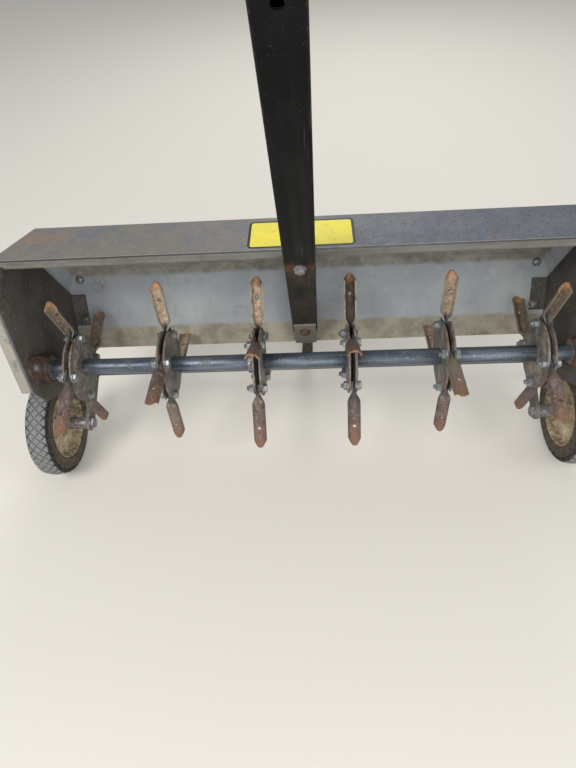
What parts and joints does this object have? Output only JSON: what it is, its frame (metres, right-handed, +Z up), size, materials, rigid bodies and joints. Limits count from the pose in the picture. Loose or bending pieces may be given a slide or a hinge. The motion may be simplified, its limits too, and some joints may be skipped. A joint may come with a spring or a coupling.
{
  "type": "tow-behind lawn plug aerator",
  "caption": "Towed lawn aerator stored nose up: spoon tine wheels on a cross shaft under a folded steel hood, a square tongue, and transport wheels on a swinging axle.",
  "frame": {"origin": "on the ground, under the middle of the whole machine's box, with the machine standing nose up", "axes": "+Z up in the stored attitude, +X across to the machine's right seen from the front of its raised tongue, -Y towards the side that the tongue leans to; working attitude is the stored one turned 61 degrees nose down about X"},
  "size_m": [1.15, 1.0948, 1.1948],
  "materials": {
    "hood_paint": "gunmetal grey paint, weathered, with rust blooms",
    "black_paint": "semi-gloss black paint with rust specks",
    "tube_steel": "metallic grey paint",
    "zinc_steel": "dull zinc plate",
    "rusty_steel": "rusty steel",
    "tine_steel": "galvanised steel worn to rust and caked with soil",
    "tyre_rubber": "hard rubber, dusty",
    "rim_paint": "cream paint, dirty",
    "grip_rubber": "matt black rubber"
  },
  "bodies": {
    "frame": {"hood": "hood_paint", "front_rail": "hood_paint", "end_plate_left": "hood_paint", "bearing_left": "rusty_steel", "arm_stop_left": "rusty_steel", "end_plate_right": "hood_paint", "bearing_right": "rusty_steel", "arm_stop_right": "rusty_steel", "tongue": "black_paint", "tongue_strap": "black_paint", "hitch_ear_upper": "black_paint", "hitch_ear_lower": "black_paint"},
    "transport_axle": {"pivot_tube": "tube_steel", "wheel_arm_left": "hood_paint", "axle_left": "zinc_steel", "wheel_arm_right": "hood_paint", "axle_right": "zinc_steel", "lever": "black_paint", "lever_grip": "grip_rubber"},
    "wheel_left": {"tyre_left": "tyre_rubber", "rim_left": "rim_paint"},
    "wheel_right": {"tyre_right": "tyre_rubber", "rim_right": "rim_paint"},
    "tine_reel": {"tine_shaft": "zinc_steel", "shaft_spacers": "tube_steel", "tine_hub_1": "tine_steel", "spoons_1": "tine_steel", "tine_hub_2": "tine_steel", "spoons_2": "tine_steel", "tine_hub_3": "tine_steel", "spoons_3": "tine_steel", "tine_hub_4": "tine_steel", "spoons_4": "tine_steel", "tine_hub_5": "tine_steel", "spoons_5": "tine_steel", "tine_hub_6": "tine_steel", "spoons_6": "tine_steel"}
  },
  "joints": [
    {"name": "transport_lift", "type": "hinge", "parent": "frame", "child": "transport_axle", "pos_m": [0, -0.03263, 0.16386], "axis": [1, 0, 0], "range_deg": [0, 72]},
    {"name": "wheel_left_spin", "type": "hinge", "parent": "transport_axle", "child": "wheel_left", "pos_m": [-0.543, -0.14209, 0.11], "axis": [1, 0, 0], "continuous": true},
    {"name": "wheel_right_spin", "type": "hinge", "parent": "transport_axle", "child": "wheel_right", "pos_m": [0.543, -0.14209, 0.11], "axis": [1, 0, 0], "continuous": true},
    {"name": "reel_spin", "type": "hinge", "parent": "frame", "child": "tine_reel", "pos_m": [0, -0.15857, 0.29414], "axis": [1, 0, 0], "continuous": true}
  ]
}
